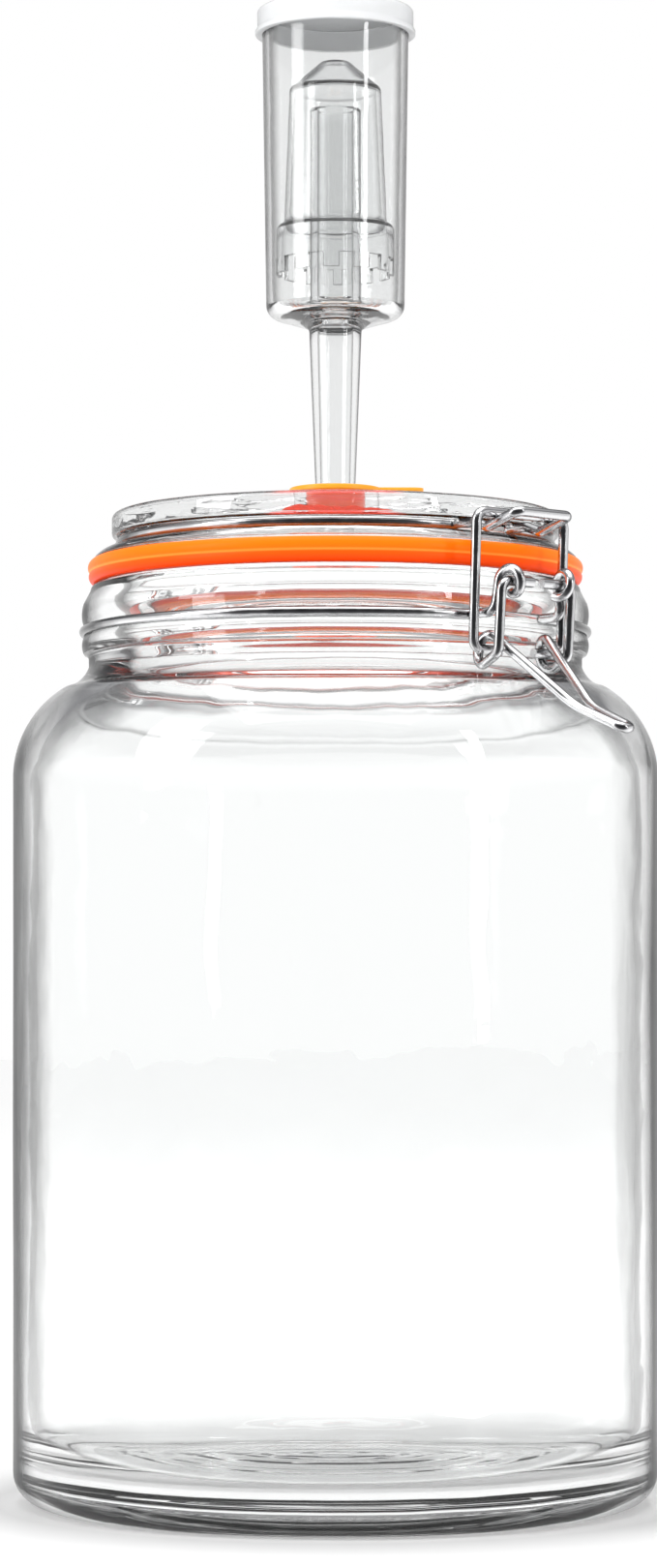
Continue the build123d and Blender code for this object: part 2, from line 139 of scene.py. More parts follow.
def clear_finish(name, tint, index, wave, wave_depth, rim_painted_shade, rim_span, rim_most, edge_shade_jitter=0.0):
    """Clear glass or plastic with painted dark reflections: a dark shader is mixed in, in streaks,
    where the wall is seen edge on.
    """
    finish = Finish(name)
    place = finish.place()
    ripple = finish.noise(wave, 2.5, 0.45, place)
    relief = finish.bump(ripple, wave_depth)
    smear = finish.noise(wave * 0.4, 3.0, 0.5, place)
    # Stretched noise that breaks the painted dark edge into streaks.
    drawn_out = finish.node(
        "ShaderNodeMapping", {}, {"Vector": place, "Scale": (38.0, 38.0, 5.0)}
    )
    edge_shade_noise = finish.noise(1.0, 4.0, 0.55, drawn_out)
    body = finish.node(
        "ShaderNodeBsdfPrincipled",
        {},
        {
            "Base Color": tint,
            "Roughness": smear * 0.01,
            "IOR": index,
            "Transmission Weight": 1.0,
            "Normal": relief,
        },
    )
    # Painted shade: a dark shader mixed into the glass where the wall is seen edge on, less on level
    # faces.
    rim = finish.node(
        "ShaderNodeBsdfPrincipled",
        {},
        {"Base Color": rim_painted_shade, "Roughness": 0.3, "Specular IOR Level": 0.05, "Normal": relief},
    )
    edge_on = finish.node("ShaderNodeLayerWeight", {}, {"Blend": 0.5}).of("Facing")
    past = finish.node(
        "ShaderNodeMapRange",
        {"interpolation_type": "SMOOTHSTEP"},
        {
            "Value": edge_on + (edge_shade_noise - 0.5) * edge_shade_jitter,
            "From Min": rim_span[0],
            "From Max": rim_span[1],
        },
    )
    faces = finish.node("ShaderNodeTexCoord").of("Normal")
    level = finish.upward(faces)
    upright = 1 - finish.node("ShaderNodeMath", {"operation": "ABSOLUTE"}, {0: level}) * 0.7
    both = finish.node("ShaderNodeMixShader", {}, {0: past * upright * rim_most, 1: body, 2: rim})
    return finish.surface(both)


def tree_of(name, inputs):
    """An empty geometry tree with its named inputs, and a finish that adds nodes to it."""
    tree = bpy.data.node_groups.new(name, "GeometryNodeTree")
    tree.interface.new_socket("Geometry", in_out="INPUT", socket_type="NodeSocketGeometry")
    for label, kind, value in inputs:
        socket = tree.interface.new_socket(label, in_out="INPUT", socket_type=kind)
        if value is not None:
            socket.default_value = value
    tree.interface.new_socket("Geometry", in_out="OUTPUT", socket_type="NodeSocketGeometry")
    build = Finish(name, tree)
    return build, build.node("NodeGroupInput")


def grown(name, mesh, tree, values):
    """A plain mesh object: the tree is run on the mesh with the values, then taken off again."""
    rough = bpy.data.objects.new(name + "_rough", mesh)
    bpy.context.scene.collection.objects.link(rough)
    modifier = rough.modifiers.new("grow", "NODES")
    modifier.node_group = tree
    for item in tree.interface.items_tree:
        if item.in_out == "INPUT" and item.name in values:
            modifier[item.identifier] = values[item.name]
    bpy.context.view_layer.update()
    seen = rough.evaluated_get(bpy.context.evaluated_depsgraph_get())
    shape = bpy.data.meshes.new_from_object(seen)
    shape.name = name
    rough.modifiers.clear()
    bpy.data.objects.remove(rough)
    piece = bpy.data.objects.new(name, shape)
    bpy.context.scene.collection.objects.link(piece)
    return piece


def turned_tree():
    """Turns an outline, given as a chain of points (radius, 0, height), round the jar's axis."""
    build, given = tree_of(
        "turned_piece",
        [
            ("Sides", "NodeSocketInt", 192),
            ("Waviness", "NodeSocketFloat", 0.0),
            ("Wave Scale", "NodeSocketFloat", 30.0),
            ("Seed", "NodeSocketFloat", 3.0),
            ("Material", "NodeSocketMaterial", None),
        ],
    )
    outline = given.of("Geometry")
    sides = given.of("Sides")
    count = build.node("GeometryNodeAttributeDomainSize", {}, {"Geometry": outline}).of(
        "Point Count"
    )
    sheet = build.node(
        "GeometryNodeMeshGrid",
        {},
        {"Size X": 1.0, "Size Y": 1.0, "Vertices X": sides + 1, "Vertices Y": count},
    )
    here = build.node("GeometryNodeInputPosition")
    across = build.node("ShaderNodeSeparateXYZ", {}, {0: here})
    angle = (across + 0.5) * (2 * pi)
    step = (across.of("Y") + 0.5) * (count - 1)
    index = build.node("FunctionNodeFloatToInt", {"rounding_mode": "ROUND"}, {0: step})
    sample = build.node(
        "GeometryNodeSampleIndex",
        {"data_type": "FLOAT_VECTOR", "domain": "POINT", "clamp": True},
        {"Geometry": outline, "Value": here, "Index": index},
    )
    spot = build.node("ShaderNodeSeparateXYZ", {}, {0: sample})
    cosine = build.node("ShaderNodeMath", {"operation": "COSINE"}, {0: angle})
    sine = build.node("ShaderNodeMath", {"operation": "SINE"}, {0: angle})
    true_place = build.node(
        "ShaderNodeCombineXYZ", {}, {0: spot * cosine, 1: spot * sine, 2: spot.of("Z")}
    )
    wave = build.node(
        "ShaderNodeTexNoise",
        {"noise_dimensions": "4D"},
        {
            "Vector": true_place,
            "W": given.of("Seed"),
            "Scale": given.of("Wave Scale"),
            "Detail": 1.0,
        },
    )
    swell = spot * (1 - wave * given.of("Waviness"))
    wavy_place = build.node(
        "ShaderNodeCombineXYZ", {}, {0: swell * cosine, 1: swell * sine, 2: spot.of("Z")}
    )
    placed = build.node(
        "GeometryNodeSetPosition", {}, {"Geometry": sheet, "Position": wavy_place}
    )
    joined = build.node(
        "GeometryNodeMergeByDistance", {}, {"Geometry": placed, "Distance": 1e-6}
    )
    real = build.node("GeometryNodeRealizeInstances", {}, {"Geometry": joined})
    dressed = build.node(
        "GeometryNodeSetMaterial", {}, {"Geometry": real, "Material": given.of("Material")}
    )
    build.node("NodeGroupOutput", {}, {"Geometry": dressed})
    return build.tree


def smooth_outwards(piece, crease=35.0):
    """Points every face outwards and rounds the shading, with a crease at true corners."""
    work = bmesh.new()
    work.from_mesh(piece.data)
    bmesh.ops.dissolve_degenerate(work, dist=1e-7, edges=work.edges)
    bmesh.ops.recalc_face_normals(work, faces=work.faces)
    if work.calc_volume(signed=True) < 0:
        bmesh.ops.reverse_faces(work, faces=work.faces)
    work.to_mesh(piece.data)
    work.free()
    piece.data.shade_smooth()
    piece.data.set_sharp_from_angle(angle=radians(crease))


def arc(start, through, end, steps=8):
    """Points after start on the circle through three points, in the plane of an outline."""
    (ax, ay), (bx, by), (cx, cy) = start, through, end
    d = 2 * (ax * (by - cy) + bx * (cy - ay) + cx * (ay - by))
    ux = (hypot(ax, ay) ** 2 * (by - cy) + hypot(bx, by) ** 2 * (cy - ay)) / d
    ux += hypot(cx, cy) ** 2 * (ay - by) / d
    uy = (hypot(ax, ay) ** 2 * (cx - bx) + hypot(bx, by) ** 2 * (ax - cx)) / d
    uy += hypot(cx, cy) ** 2 * (bx - ax) / d
    radius = hypot(ax - ux, ay - uy)
    first = atan2(ay - uy, ax - ux)
    middle = (atan2(by - uy, bx - ux) - first) % (2 * pi)
    last = (atan2(cy - uy, cx - ux) - first) % (2 * pi)
    turn = last if middle < last else last - 2 * pi
    points = []
    for step in range(1, steps + 1):
        angle = first + turn * step / steps
        points.append((ux + radius * cos(angle), uy + radius * sin(angle)))
    return points


def straight(start, end, steps):
    """Points after start on the line to end."""
    points = []
    for step in range(1, steps + 1):
        part = step / steps
        points.append(
            (start[0] + (end[0] - start[0]) * part, start[1] + (end[1] - start[1]) * part)
        )
    return points


turning = turned_tree()


def turned(name, outline, material, sides=192, waviness=0.0, wave_scale=30.0, crease=35.0):
    """A turned piece from an outline of (radius, height) in millimetres."""
    mesh = bpy.data.meshes.new(name + "_outline")
    places = [(radius * MM, 0.0, height * MM) for radius, height in outline]
    mesh.from_pydata(places, [(i, i + 1) for i in range(len(places) - 1)], [])
    values = {
        "Sides": sides,
        "Waviness": waviness,
        "Wave Scale": wave_scale,
        "Material": material,
    }
    piece = grown(name, mesh, turning, values)
    smooth_outwards(piece, crease)
    return piece


jar_height = 227.0
jar_radius = 80.0
jar_floor = 7
foot_inner_radius = 62
shoulder_start = 180
neck_ring_height = 215.2
wire_seat = 1.25

jar_glass = clear_finish(
    "jar_glass",
    tint=(0.985, 0.992, 0.99, 1),
    index=1.5,
    wave=22.0,
    wave_depth=0.0006,
    # Colour of the painted dark edge.
    rim_painted_shade=(0.014, 0.015, 0.016, 1),
    rim_span=(0.58, 0.84),
    rim_most=0.97,
    edge_shade_jitter=0.36,
)


def floor_rise(radius):
    """How far the pushed-up floor stands over the foot's inner edge."""
    fall = radius / foot_inner_radius
    return 3 * (1 - 3 * fall**2 + 2 * fall**3)


def floor_ripple(radius):
    """The low rings that the plunger leaves in the floor of the jar."""
    return 0.22 * sin(radius * 0.42) + 0.12 * sin(radius * 1.1)


def jar_outline():
    seat_top = neck_ring_height + wire_seat
    seat_low = neck_ring_height - wire_seat
    points = [(0.0, 10.0)]
    for step in range(1, foot_inner_radius + 1):
        points.append((step, jar_floor + floor_rise(step) + floor_ripple(step)))
    points += arc(points[-1], (72, 11.2), (76, 21), 14)
    points += straight((76, 21), (76, shoulder_start), 60)
    points += arc((76, shoulder_start), (72.1, 190.5), (64.5, 198), 16)
    points += arc((64.5, 198), (57.5, 202), (54.5, 208.4), 12)
    points += straight((54.5, 208.4), (54.5, 225.5), 10)
    points += arc((54.5, 225.5), (54.95, 226.55), (56, jar_height), 6)
    points += straight((56, jar_height), (58.9, jar_height), 2)
    points += arc((58.9, jar_height), (60.3, 226.5), (60.9, 225.2), 6)
    points += straight((60.9, 225.2), (62.6, 222), 3)
    points += arc((62.6, 222), (63, 219.8), (62.5, seat_top), 8)
    points += [(62.3, seat_top)]
    points += arc((62.3, seat_top), (61.05, neck_ring_height), (62.3, seat_low), 10)
    points += [(62.5, seat_low)]
    points += arc((62.5, seat_low), (63, 211.8), (62.5, 209.7), 8)
    points += arc((62.5, 209.7), (61.6, 209.2), (61.3, 208.3), 5)
    points += straight((61.3, 208.3), (61.3, 206.4), 2)
    points += arc((61.3, 206.4), (63.2, 203.4), (67.8, 201), 9)
    points += arc((67.8, 201), (76.1, 192.7), (jar_radius, shoulder_start), 18)
    points += straight((jar_radius, shoulder_start), (jar_radius, 8), 60)
    points += arc((jar_radius, 8), (77.66, 2.34), (72, 0), 10)
    points += straight((72, 0), (foot_inner_radius, 0), 3)
    for step in range(foot_inner_radius - 1, -1, -1):
        points.append((float(step), floor_rise(step)))
    return points


glass_jar = turned("jar_glass_body", jar_outline(), jar_glass, 256, 0.004, 26.0)
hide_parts("glass_jar")
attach(glass_jar, "jar")


# ---- neck ring ----
# A bright drawn steel wire that lies in the jar's groove. At the front each end turns out and
# curls into an eye for the lever. At the back it is bent out into the bar that the lid turns on.
def steel_finish(name):
    """Bright drawn steel with painted reflections: an upright wire is painted dark along its middle,
    one that faces up is painted light.
    """
    finish = Finish(name)
    place = finish.place()
    rough_and_sheen_noise = finish.noise(260.0, 4.0, 0.6, place)
    scuff = finish.noise(900.0, 2.0, 0.5, place)
    edge_on = finish.node("ShaderNodeLayerWeight", {}, {"Blend": 0.5}).of("Facing")
    # Painted reflection: dark face on, light a little off, dark again at the silhouette, jittered by
    # the noise.
    shade = finish.ramp(
        edge_on + (rough_and_sheen_noise - 0.5) * 0.12,
        (0.0, (0.02, 0.02, 0.022)),
        (0.08, (0.05, 0.05, 0.052)),
        (0.2, (0.55, 0.55, 0.56)),
        (0.45, (0.72, 0.72, 0.73)),
        (0.68, (0.06, 0.06, 0.062)),
    )
    faces = finish.node("ShaderNodeTexCoord").of("Normal")
    upward = finish.upward(faces)
    # Painted light: faces that point up take a lighter ramp that darkens only at the silhouette.
    lifted = finish.node(
        "ShaderNodeMapRange",
        {"interpolation_type": "SMOOTHSTEP"},
        {"Value": upward + (rough_and_sheen_noise - 0.5) * 0.4, "From Min": 0.1, "From Max": 0.45},
    )
    outlined = finish.ramp(
        edge_on,
        (0.45, (0.66, 0.66, 0.67)),
        (0.7, (0.06, 0.06, 0.062)),
    )
    painted_sheen = finish.node(
        "ShaderNodeMix",
        {"data_type": "RGBA"},
        {"Factor": lifted, 6: shade, 7: outlined},
    ).of("Result")
    steel = finish.node(
        "ShaderNodeBsdfPrincipled",
        {},
        {
            "Base Color": painted_sheen,
            "Metallic": 1.0,
            "Roughness": rough_and_sheen_noise * 0.12 + 0.12,
            "Normal": finish.bump(scuff, 0.00003, 0.5),
        },
    )
    return finish.surface(steel)


def wire_tree():
    """Round wire along a chain of points, with its cut ends closed."""
    build, given = tree_of(
        "drawn_wire",
        [
            ("Wire Radius", "NodeSocketFloat", 0.0012),
            ("Sides", "NodeSocketInt", 20),
            ("Material", "NodeSocketMaterial", None),
        ],
    )
    line = build.node("GeometryNodeMeshToCurve", {}, {"Mesh": given.of("Geometry")})
    section = build.node(
        "GeometryNodeCurvePrimitiveCircle",
        {"mode": "RADIUS"},
        {"Resolution": given.of("Sides"), "Radius": given.of("Wire Radius")},
    )
    drawn = build.node(
        "GeometryNodeCurveToMesh",
        {},
        {"Curve": line, "Profile Curve": section, "Fill Caps": True},
    )
    whole = build.node("GeometryNodeMergeByDistance", {}, {"Geometry": drawn, "Distance": 1e-6})
    real = build.node("GeometryNodeRealizeInstances", {}, {"Geometry": whole})
    dressed = build.node(
        "GeometryNodeSetMaterial", {}, {"Geometry": real, "Material": given.of("Material")}
    )
    build.node("NodeGroupOutput", {}, {"Geometry": dressed})
    return build.tree


def bent(points, bend, steps=9):
    """Points along a run through the given corners, each rounded with the same bend."""
    corners = [Vector(p) for p in points]
    line = [corners[0]]
    for before, corner, after in zip(corners, corners[1:], corners[2:]):
        inward = (before - corner).normalized()
        outward = (after - corner).normalized()
        half_turn = (pi - inward.angle(outward)) / 2
        centre = corner + (inward + outward).normalized() * (bend / cos(half_turn))
        first = corner + inward * bend * tan(half_turn) - centre
        last = corner + outward * bend * tan(half_turn) - centre
        for step in range(steps + 1):
            part = step / steps
            line.append(centre + first.slerp(last, part) * bend)
    line.append(corners[-1])
    return line


def coil(centre, half_width, half_height, start, turn, y_start, y_shift, steps=40):
    """Points on a loop round an axis along Y that steps sideways as it turns."""
    line = []
    for step in range(steps + 1):
        part = step / steps
        angle = radians(start + turn * part)
        line.append(
            Vector(
                (
                    centre[0] + half_width * cos(angle),
                    y_start + y_shift * part,
                    centre[1] + half_height * sin(angle),
                )
            )
        )
    return line


def ring_arc(radius, height, from_angle, to_angle, steps=110):
    """Points on a level ring round the jar's axis."""
    line = []
    for step in range(steps + 1):
        angle = radians(from_angle + (to_angle - from_angle) * step / steps)
        line.append(Vector((radius * cos(angle), radius * sin(angle), height)))
    return line


def along_ring(radius, height, angle):
    """A point on a level ring and the way along it toward a smaller angle."""
    turn = radians(angle)
    spot = Vector((radius * cos(turn), radius * sin(turn), height))
    return spot, Vector((sin(turn), -cos(turn), 0))


drawing = wire_tree()
wire_radius = 1.196


def wire_piece(name, half, material):
    """Wire along half a path that starts on the plane of symmetry, and along its mirror image."""
    other = [Vector((p.x, -p.y, p.z)) for p in half]
    chain = other[:0:-1] + half
    kept = [chain[0]]
    for point in chain[1:]:
        if (point - kept[-1]).length > 0.02:
            kept.append(point)
    mesh = bpy.data.meshes.new(name + "_line")
    mesh.from_pydata([p * MM for p in kept], [(i, i + 1) for i in range(len(kept) - 1)], [])
    values = {"Wire Radius": wire_radius * MM, "Sides": 24, "Material": material}
    piece = grown(name, mesh, drawing, values)
    smooth_outwards(piece, 50.0)
    return piece


wire_steel = steel_finish("wire_steel")
neck_ring_radius = 62.3
neck_ring_front = 13.5
neck_ring_back = 161.0
eye_radius = 2.9
eye_shift = -2.6
eye_turn = 300
eye_outer = 9.6
pivot = (72.3, 222.4)
bar = (-71.0, 222.0)
ring_front, ring_front_way = along_ring(neck_ring_radius, neck_ring_height, neck_ring_front)
ring_back, ring_back_way = along_ring(neck_ring_radius, neck_ring_height, neck_ring_back)
eye_start = Vector((pivot[0] - eye_radius, eye_outer, pivot[1]))
eye_rise = Vector((0, eye_shift / (radians(eye_turn) * eye_radius), 1)).normalized()
neck_line = bent(
    [
        (bar[0], 0, bar[1]),
        (bar[0], 12.5, bar[1]),
        (bar[0] + 3.5, 14.0, neck_ring_height + 0.3),
        ring_back - ring_back_way * 6,
        ring_back,
    ],
    2.2,
)
neck_line += ring_arc(neck_ring_radius, neck_ring_height, neck_ring_back, neck_ring_front)
neck_line += bent(
    [ring_front, ring_front + ring_front_way * 3.6, eye_start - eye_rise * 7.2, eye_start], 2.5
)
neck_line += coil(pivot, eye_radius, eye_radius, 180, -eye_turn, eye_outer, eye_shift)
neck_ring = wire_piece("neck_ring_wire", neck_line, wire_steel)
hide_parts("neck_ring")
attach(neck_ring, "jar")


# ---- lid gasket ----
# A moulded silicone ring round the lid's plug, squeezed between the rim and the lid.
# Its upper half is painted paler and its lower half deeper, as painted light and shade, with a
# painted highlight line along the crease round the middle; the ring also glows a little as painted
# light.
def gasket_finish():
    finish = Finish("gasket_silicone")
    place = finish.place()
    height = finish.upward(place)
    level = (height - 0.22705) * (1 / 0.006)
    # Painted light and shade: paler above, deeper below, a painted highlight line at the middle
    # stops; the same colours glow as painted light.
    shade = finish.ramp(
        level,
        (0.0, (0.72, 0.04, 0.001)),
        (0.4, (0.85, 0.075, 0.001)),
        (0.47, (0.88, 0.24, 0.03)),
        (0.55, (0.84, 0.125, 0.001)),
        (1.0, (0.84, 0.155, 0.001)),
    )
    speck = finish.noise(700.0, 3.0, 0.6, place)
    silicone = finish.node(
        "ShaderNodeBsdfPrincipled",
        {},
        {
            "Base Color": shade,
            "Roughness": speck * 0.14 + 0.3,
            "Specular IOR Level": 0.08,
            "Emission Color": shade,
            "Emission Strength": 0.25,
            "Normal": finish.bump(speck, 0.00002, 0.5),
        },
    )
    return finish.surface(silicone)


gasket_low = jar_height + 0.05
gasket_top = gasket_low + 6.0
gasket_line = [(59.9, gasket_low), (50.55, gasket_low), (50.55, gasket_top), (60.0, gasket_top)]
gasket_line += arc((60.0, gasket_top), (61.4, gasket_top - 1.7), (61.15, gasket_low + 2.95), 10)
gasket_line += [(60.95, gasket_low + 2.7)]
gasket_line += arc((61.1, gasket_low + 2.45), (61.2, gasket_low + 1.5), (59.9, gasket_low), 9)
gasket = turned("gasket_ring", gasket_line, gasket_finish(), 192, 0.001, 40.0)
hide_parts("lid_gasket")
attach(gasket, "lid")


# ---- glass lid ----
# A pressed glass lid: a flange that lies on the gasket, a plug ring that centres it in the mouth,
# a groove for the lid ring under the top disk, and a hole in the middle for the grommet.
lid_bottom = 233.1
lid_top = 244.5
lid_ring_height = 237.3


def lid_outline():
    seat_top = lid_ring_height + wire_seat
    seat_low = lid_ring_height - wire_seat
    points = [(7.05, lid_top), (7.05, 241.5), (7.05, 239.0), (12.0, 239.0), (42.0, 239.0)]
    points += arc((42.0, 239.0), (44.8, 237.8), (46.0, 235.0), 8)
    points += [(46.4, 225.5)]
    points += arc((46.4, 225.5), (46.8, 224.7), (47.4, 224.5), 4)
    points += [(49.5, 224.5)]
    points += arc((49.5, 224.5), (50.25, 224.8), (50.5, 225.5), 4)
    points += [(50.5, 229.0), (50.5, lid_bottom), (55.0, lid_bottom), (59.4, lid_bottom)]
    points += arc((59.4, lid_bottom), (59.72, 233.24), (59.75, 233.6), 4)
    points += arc((59.75, 233.6), (57.9, 235.12), (54.3, seat_low), 10)
    points += [(53.3, seat_low)]
    points += arc((53.3, seat_low), (52.05, lid_ring_height), (53.3, seat_top), 10)
    points += [(54.5, seat_top)]
    points += arc((54.5, seat_top), (55.2, seat_top + 0.3), (55.5, seat_top + 1), 5)
    points += [(55.5, 241.5)]
    points += straight((55.5, 241.5), (55.5, lid_top - 1.4), 2)
    points += arc((55.5, lid_top - 1.4), (55.09, lid_top - 0.41), (54.1, lid_top), 6)
    points += straight((54.1, lid_top), (7.05, lid_top), 24)
    return points


lid_glass = clear_finish(
    "lid_glass",
    tint=(0.985, 0.992, 0.99, 1),
    index=1.5,
    wave=60.0,
    wave_depth=0.0004,
    # Colour of the painted dark edge.
    rim_painted_shade=(0.05, 0.052, 0.055, 1),
    rim_span=(0.6, 1.0),
    rim_most=0.6,
    edge_shade_jitter=0.2,
)
glass_lid = turned("lid_glass_disk", lid_outline(), lid_glass, 224, 0.002, 60.0)
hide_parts("glass_lid")
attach(glass_lid, "lid")


# ---- lid ring ----
# The same wire again, sprung into the lid's groove. Its two ends curl round the hinge bar,
# and its front is bent into the catch that the link's top bar lies on.
catch = (74.6, 238.6)
catch_low = (64.5, 235.7)
arm = 8.6
lid_ring_radius = 53.3
lid_ring_front = 13.0
lid_ring_back = 167.0
lid_front, lid_front_way = along_ring(lid_ring_radius, lid_ring_height, lid_ring_front)
lid_back, lid_back_way = along_ring(lid_ring_radius, lid_ring_height, lid_ring_back)
lid_line = bent(
    [
        (catch[0], 0, catch[1]),
        (catch[0], arm, catch[1]),
        (catch_low[0], arm, catch_low[1]),
        (catch_low[0] - 4.5, arm, lid_ring_height),
        lid_front + lid_front_way * ((lid_front.y - arm) / -lid_front_way.y),
        lid_front,
    ],
    1.9,
)
lid_line += ring_arc(lid_ring_radius, lid_ring_height, lid_ring_front, lid_ring_back)
lid_line += bent(
    [
        lid_back,
        lid_back - lid_back_way * ((lid_back.y - arm) / lid_back_way.y),
        (bar[0] - eye_radius, arm, lid_ring_height),
        (bar[0] - eye_radius, arm, bar[1]),
    ],
    1.9,
)
lid_line += coil(bar, eye_radius, eye_radius, 180, 270, arm, eye_shift)
lid_ring = wire_piece("lid_ring_wire", lid_line, wire_steel)
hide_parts("lid_ring")
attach(lid_ring, "lid")


# ---- clamp lever ----
# One wire: its ends turn in the neck ring's eyes, each arm wraps a loop round the link's pin,
# and the two runs come together in a narrow handle with a rounded nose.
loop = (pivot[0] - 6.7, pivot[1] - 15.8)
loop_half = (2.8, 3.5)
loop_in = -68.0
run_out, run_down = 20.6, 16.9
grip_out, grip_down, grip_half = 12.6, 5.0, 2.0
lever_outer, lever_inner, lever_shift = 11.3, 8.6, 2.7
run_way = Vector((run_out, 0, -run_down)).normalized()
loop_out = atan2(loop_half[1] * run_way.x, -loop_half[0] * run_way.z) * 180 / pi - 360


def on_loop(angle, y):
    turn = radians(angle)
    return Vector((loop[0] + loop_half[0] * cos(turn), y, loop[1] + loop_half[1] * sin(turn)))


into_loop = Vector(
    (loop_half[0] * sin(radians(loop_in)), 0, -loop_half[1] * cos(radians(loop_in)))
).normalized()
loop_start = on_loop(loop_in, lever_outer)
handle_start = on_loop(loop_out, lever_inner)
waist = Vector((handle_start.x + run_out, 2.8, handle_start.z - run_down))
tip = Vector((waist.x + grip_out, grip_half, waist.z - grip_down))
grip_way = Vector((grip_out, 0, -grip_down)).normalized()
nose = []
for eighth in range(9):
    turn = radians(90 * eighth / 8)
    outward = grip_way * sin(turn) + Vector((0, 1, 0)) * cos(turn)
    nose.append(Vector((tip.x, 0, tip.z)) + outward * grip_half)
lever_line = nose[::-1]
lever_line += bent([tip, waist, handle_start], 20.0)
lever_line += coil(loop, *loop_half, loop_out, loop_in - loop_out, lever_inner, lever_shift)
lever_line += bent(
    [
        loop_start,
        loop_start - into_loop * 5,
        (pivot[0], lever_outer, pivot[1]),
        (pivot[0], 1.5, pivot[1]),
    ],
    2.5,
)
lever = wire_piece("lever_wire", lever_line, wire_steel)
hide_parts("clamp_lever")
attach(lever, "lever")


# ---- clamp link ----
# The bail that pulls the lid down: a wire with its two ends turned in through the lever's loops
# and a straight top bar that lies across the arms of the catch.
catch_slope = atan2(catch[1] - catch_low[1], catch[0] - catch_low[0])
link_half = 14.2
link_top_x = 66.8
link_rise = (link_top_x - catch_low[0]) * tan(catch_slope) + 2.45 / cos(catch_slope)
link_top = (link_top_x, catch_low[1] + link_rise)
link_line = bent(
    [
        (link_top[0], 0, link_top[1]),
        (link_top[0], link_half, link_top[1]),
        (loop[0], link_half, loop[1]),
        (loop[0], 5.2, loop[1]),
    ],
    2.6,
)
link = wire_piece("link_wire", link_line, wire_steel)
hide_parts("clamp_link")
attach(link, "link")


# ---- grommet ----
# A soft silicone bush pushed through the lid's hole, with a flange above, a skirt below, and a
# flat pull tab. Its lower part has a painted glow that stands in for light shining through the
# silicone from the side.
def grommet_finish():
    finish = Finish("grommet_silicone")
    place = finish.place()
    height = finish.upward(place)
    level = (height - 0.237) * (1 / 0.0145)
    # Redder low down, where it sits in the lid, and more orange above.
    shade = finish.ramp(
        level,
        (0.0, (0.9, 0.1, 0.06)),
        (0.4, (0.9, 0.13, 0.05)),
        (0.6, (0.9, 0.3, 0.01)),
        (1.0, (0.9, 0.36, 0.02)),
    )
    # Painted glow: the lower part is given emission for light shining through the silicone; it is no
    # lamp.
    glow = finish.ramp(
        level,
        (0.3, (0.5, 0.07, 0.06)),
        (0.75, (0.08, 0.03, 0.0)),
    )
    speck = finish.noise(500.0, 3.0, 0.6, place)
    silicone = finish.node(
        "ShaderNodeBsdfPrincipled",
        {},
        {
            "Base Color": shade,
            "Roughness": speck * 0.15 + 0.3,
            "Specular IOR Level": 0.3,
            "Emission Color": glow,
            "Emission Strength": 1.0,
            "Normal": finish.bump(speck, 0.00003, 0.5),
        },
    )
    return finish.surface(silicone)


grommet_silicone = grommet_finish()
collar_top = lid_top + 6.7
brim_bottom = collar_top - 1.3
grommet_line = [(5.05, 237.0), (5.05, collar_top), (11.0, collar_top)]
grommet_line += arc((11.0, collar_top), (11.35, collar_top - 0.15), (11.5, collar_top - 0.5), 4)
grommet_line += [(11.5, brim_bottom + 0.2), (11.3, brim_bottom), (9.0, brim_bottom)]
grommet_line += arc((9.0, brim_bottom), (8.43, brim_bottom - 0.23), (8.2, brim_bottom - 0.8), 5)
grommet_line += [(8.2, 247.7)]
grommet_line += arc((8.2, 247.7), (8.43, 247.13), (9.0, 246.9), 5)
grommet_line += [(11.2, 246.9)]
grommet_line += arc((11.2, 246.9), (11.77, 246.67), (12.0, 246.1), 5)
grommet_line += [(12.0, 244.5), (7.0, 244.5), (7.0, 239.0), (11.0, 239.0), (11.0, 237.8)]
grommet_line += [(9.4, 237.0), (5.05, 237.0)]
grommet = turned("grommet_bush", grommet_line, grommet_silicone, 96)
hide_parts("lid_grommet")
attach(grommet, "lid")


tab_start, tab_end = 9.85, 21.85
tab_half, tab_round = 2.9, 19.0


def tab_mesh(name):
    """The pull tab: a flat strap out of the brim, rounded off at its end and along its edges."""
    way = Vector((cos(radians(49)), sin(radians(49)), 0))
    side = Vector((-way.y, way.x, 0))
    middle = brim_bottom + 0.72
    steps = 20
    work = bmesh.new()
    rows = []
    for step in range(steps + 1):
        reach = tab_start + (tab_end - tab_start) * sin(pi / 2 * step / steps)
        narrowing = 1.0
        if reach >= tab_round:
            narrowing = sqrt(max(0.02, 1 - ((reach - tab_round) / 2.86) ** 2))
        half = narrowing * tab_half
        row = []
        for corner in range(16):
            turn = 2 * pi * corner / 16
            across = max(-1.0, min(1.0, 1.25 * cos(turn))) * half
            up = max(-1.0, min(1.0, 1.25 * sin(turn))) * (0.68 if step < steps else 0.4)
            place = way * reach + side * across + Vector((0, 0, middle + up))
            row.append(work.verts.new(place * MM))
        rows.append(row)
    for near, far in zip(rows, rows[1:]):
        for i in range(16):
            j = (i + 1) % 16
            work.faces.new((near[i], near[j], far[j], far[i]))
    work.faces.new(rows[0])
    work.faces.new(rows[-1][::-1])
    mesh = bpy.data.meshes.new(name)
    work.to_mesh(mesh)
    work.free()
    piece = bpy.data.objects.new(name, mesh)
    bpy.context.scene.collection.objects.link(piece)
    mesh.materials.append(grommet_silicone)
    smooth_outwards(piece, 60.0)
    return piece


tab = tab_mesh("grommet_tab")
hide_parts("lid_grommet")
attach(tab, "lid")


